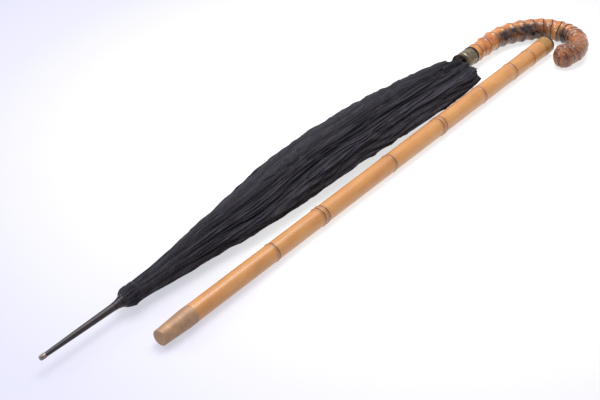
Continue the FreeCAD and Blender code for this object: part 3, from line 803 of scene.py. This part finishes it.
def crook_ink(s, turn):
    """The black mottling: along the inside of the wide bend, and a blot before the nose."""
    inward = np.cos(turn + 0.25)  # 1 on the inside of the bend, a little above the middle
    patch = 0.55 + 0.45 * np.sin(s * 0.16 + 1.2 + 1.5 * np.sin(turn * 2))
    along = smooth_step((s - 42) / 14) * (1 - smooth_step((s - 128) / 26))
    ink = along * smooth_step((inward + 0.15) * 1.5) * smooth_step(patch * 2.4 + 0.45)
    blot = np.exp(-(((s - 168) / 16) ** 2)) * smooth_step((inward - 0.1) * 1.6)
    return np.maximum(ink, blot)


def crook_points(s, turn, radius):
    """The crook's surface: its radii set off round its middle line."""
    x, y, heading = crook_line(s)
    inside_x, inside_y = -np.sin(heading), -np.cos(heading)  # towards the inside of the bend
    points = np.empty(radius.shape + (3,))
    points[..., 0] = TIP_X + (x[:, None] + inside_x[:, None] * radius * np.cos(turn)) * MM
    points[..., 1] = AXIS_Y + (y[:, None] + inside_y[:, None] * radius * np.cos(turn)) * MM
    points[..., 2] = AXIS_Z + radius * np.sin(turn) * MM
    points[..., 2] = np.maximum(points[..., 2], 0.05 * MM)
    return points


def make_crook():
    """The crook: joints of root swelling up to each ring, lumpy round the bend, with scars
    winding round a knobbly nose."""
    nose_end = CROOK_LENGTH + KNOB_PAST + KNOB_R
    bar = np.linspace(0, CROOK_LENGTH - 4, CROOK_ROWS)
    s = np.concatenate([bar, np.linspace(CROOK_LENGTH - 3.7, nose_end, NOSE_ROWS)])
    turn = full_turn(CROOK_COLUMNS)[None, :]
    grid = np.broadcast_to(s[:, None], (len(s), CROOK_COLUMNS))
    radius = crook_radius(s)[:, None]
    rise, waist, line = crook_rings(grid, turn)

    on_bend = smooth_step((grid - CROOK_STRAIGHT - 20) / 40)
    lumps = 0.35 * np.sin(7 * turn + 0.33 * grid) * np.sin(0.21 * grid + 2 * turn) * on_bend
    on_nose = smooth_step((grid - CROOK_LENGTH + 22) / 14)
    spiral = (grid / NOSE_SCAR_PITCH + turn / np.pi + 0.06 * np.sin(5 * turn)) % 1
    groove = np.exp(-(((spiral - 0.5) / 0.13) ** 2))
    knots = 0.5 + 0.5 * np.sin(8 * turn + 0.55 * grid) * np.sin(0.62 * grid + 2 * turn)
    rise = rise * (1 - on_nose) + on_nose * (0.5 - 0.8 * groove + 0.8 * knots)

    at_tip = np.clip(radius / 6.0, 0, 1)  # no relief where the nose closes
    at_collar = smooth_step(s / 1.2)[:, None]  # nor where the collar holds the bar
    full = radius + at_tip * at_collar * (rise + waist * (1 - on_nose) + lumps)
    full = np.where(radius < 0.01, 0.0, full)
    marks = {
        "ring": np.maximum(line * (1 - on_nose), on_nose * groove * 0.75),
        "ink": np.maximum(crook_ink(grid, turn), 0.5 * on_nose * smooth_step(1.5 * knots - 0.6)),
        "brown": smooth_step((grid - CROOK_LENGTH + 62) / 45) * 0.85,
    }
    unrolled = unroll(grid, turn * CROOK_R * MM)
    obj = grid_object("crook", crook_points(s, turn, full), unrolled, ROOT, wrap=True, marks=marks)
    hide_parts("crook_handle")
    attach(obj, "umbrella_frame")


make_crook()

# ---------------------------------------------------------------- sheath
# Distances are from the foot, along the sheath's own axis.
SHEATH_SINGLES = (153.0, 351.0, 540.0, 614.0, 659.0)
SHEATH_DOUBLES = (229.0, 450.0)
DOUBLE_HALF = 3.0
SINGLE_RISE = 0.5
DOUBLE_RISE = 0.65
SINGLE_DARK = 0.85
DOUBLE_DARK = 1.0
FOOT_R = 8.9
TAPER = 2.0  # how much thicker the cane is at its mouth
FERRULE_L = 40.0
FERRULE_LAP = 12.0
FERRULE_WALL = 0.9
MOUTH_COLLAR_L = 20.0
MOUTH_COLLAR_WALL = 0.6
MOUTH_RIM_L = 4.0
BORE_R = 8.6
FOOT_BORE_R = 7.2
FULL_BORE_S = 470.0
SHEATH_COLUMNS = 96
SHEATH_R = 10.0  # at which the cane is unrolled


def sheath_axis():
    """Foot and mouth ends of the sheath's axis, in the row frame."""
    foot_low, foot_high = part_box("sheath_foot_plate")
    mouth_low, mouth_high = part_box("sheath_mouth_rim")
    foot = Vector((foot_low.x, (foot_low.y + foot_high.y) / 2, (foot_low.z + foot_high.z) / 2))
    mouth = Vector((mouth_high.x, (mouth_low.y + mouth_high.y) / 2, (mouth_low.z + mouth_high.z) / 2))
    return foot, mouth


def sheath_nodes():
    """The cane's nodes, in order: place, how far it stands out, and how dark its scar is."""
    nodes = [(place, SINGLE_RISE, SINGLE_DARK) for place in SHEATH_SINGLES]
    for place in SHEATH_DOUBLES:
        nodes += [(place + side, DOUBLE_RISE, DOUBLE_DARK) for side in (-DOUBLE_HALF, DOUBLE_HALF)]
    return sorted(nodes)


def sheath_profile(nodes, length):
    """Distances and radii of the cane's rows: along its outside, and back along its bore. It is
    thinner beneath its ferrule and its collar. Also gives the number of rows on the outside."""
    start = FERRULE_L - FERRULE_LAP
    end = length - MOUTH_RIM_L
    rows = [np.linspace(start, end, 160)]
    rows += [np.linspace(place - 4, place + 4, 33) for place, _, _ in nodes]
    outer = np.unique(np.round(np.concatenate(rows), 3))
    outer = outer[(outer >= start) & (outer <= end)]
    radius = FOOT_R + TAPER * outer / length
    radius = np.where(outer < FERRULE_L, radius - FERRULE_WALL, radius)
    radius = np.where(outer > length - MOUTH_COLLAR_L, radius - MOUTH_COLLAR_WALL, radius)
    s = np.concatenate([outer, [end, FULL_BORE_S, start, start]])
    radius = np.concatenate([radius, [BORE_R, BORE_R, FOOT_BORE_R, radius[0]]])
    return s, radius, len(outer)


def make_sheath():
    """The cane: a slightly uneven tube with a scar at every node and swellings at two pairs."""
    foot, mouth = sheath_axis()
    length = (mouth - foot).length / MM
    nodes = sheath_nodes()
    s, radius, outside = sheath_profile(nodes, length)
    turn = full_turn(SHEATH_COLUMNS)
    grid = np.broadcast_to(s[:, None], (len(s), SHEATH_COLUMNS))
    rise = np.zeros_like(grid)
    scar = np.zeros_like(grid)
    halo = np.zeros_like(grid)
    for n, (place, proud, dark) in enumerate(nodes):
        away = grid - (place + 0.25 * np.sin(turn * 2 + n) + 0.12 * np.sin(turn * 5 + 2 * n))
        rise = np.maximum(rise, proud * np.exp(-((away / 0.85) ** 4)))
        rise = rise - 0.3 * np.exp(-(((away - 1.6) / 0.5) ** 2))
        scar = np.maximum(scar, dark * np.exp(-(((away - 1.3) / 0.95) ** 4)))
        halo = np.maximum(halo, np.exp(-((away / 3.5) ** 2)))
    rise[outside:] = 0
    full = radius[:, None] + rise

    direction = (mouth - foot).normalized()
    up = Vector((-direction.z, 0, direction.x)).normalized()
    side = up.cross(direction)
    points = np.array(foot) + grid[..., None] * MM * np.array(direction)
    points = points + (full * np.cos(turn) * MM)[..., None] * np.array(side)
    points = points + (full * np.sin(turn) * MM)[..., None] * np.array(up)
    unrolled = unroll(grid, turn * SHEATH_R * MM)
    marks = {"scar": scar, "halo": halo}
    obj = grid_object("sheath_cane", points, unrolled, CANE, wrap=True, marks=marks)
    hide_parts("sheath_tube")
    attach(obj, "sheath_group")


make_sheath()

# ---------------------------------------------------------------- floor and light
FLOOR_HALF = 5.0
WORLD_COLOUR = (0.93, 0.93, 1.0, 1)
WORLD_STRENGTH = 0.72


def make_floor():
    h = FLOOR_HALF
    mesh = bpy.data.meshes.new("floor")
    mesh.from_pydata([(-h, -h, 0), (h, -h, 0), (h, h, 0), (-h, h, 0)], [], [(0, 1, 2, 3)])
    mesh.materials.append(floor_material())
    obj = bpy.data.objects.new("floor", mesh)
    bpy.context.scene.collection.objects.link(obj)


def area_light(name, place, target, size, power, colour):
    data = bpy.data.lights.new(name, "AREA")
    data.shape = "RECTANGLE"
    data.size, data.size_y = size
    data.energy = power
    data.color = colour
    obj = bpy.data.objects.new(name, data)
    obj.location = place
    obj.rotation_euler = (Vector(target) - Vector(place)).to_track_quat("-Z", "Y").to_euler()
    bpy.context.scene.collection.objects.link(obj)


def make_light():
    """A pale world, a large soft light overhead and a smaller one from the far left."""
    world = bpy.data.worlds.new("studio")
    world.use_nodes = True
    background = world.node_tree.nodes["Background"]
    background.inputs["Color"].default_value = WORLD_COLOUR
    background.inputs["Strength"].default_value = WORLD_STRENGTH
    bpy.context.scene.world = world
    area_light("overhead", (0.35, 0.25, 1.5), (0.15, 0, 0), (1.3, 1.0), 27, (1, 0.99, 0.98))
    area_light("left", (-1.0, 1.3, 0.9), (0, 0, 0), (1.0, 0.8), 13, (0.97, 0.97, 1))


make_floor()
make_light()
bpy.context.scene.view_settings.view_transform = "Standard"
